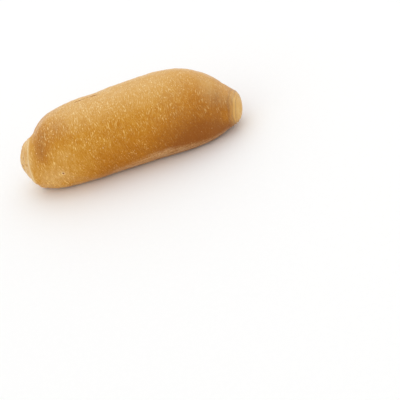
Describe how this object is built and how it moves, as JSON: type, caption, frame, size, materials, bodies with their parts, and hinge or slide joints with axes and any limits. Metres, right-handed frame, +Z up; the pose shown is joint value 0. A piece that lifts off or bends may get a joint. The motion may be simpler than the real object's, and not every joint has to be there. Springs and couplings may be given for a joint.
{
  "type": "bread roll",
  "caption": "Oblong olive oil bread roll with a smooth golden crust, a blunt button of rolled-up dough at each end and a flat base to rest on.",
  "frame": {"origin": "on the surface the roll rests on, under the middle of its box", "axes": "+X along the roll towards its slimmer, drooping end, +Z up"},
  "size_m": [0.137, 0.0522, 0.0432],
  "materials": {
    "crust": "baked bread crust, satin and finely wrinkled, with pale flecks"
  },
  "bodies": {
    "root": {"bread_roll": "crust"}
  },
  "joints": []
}
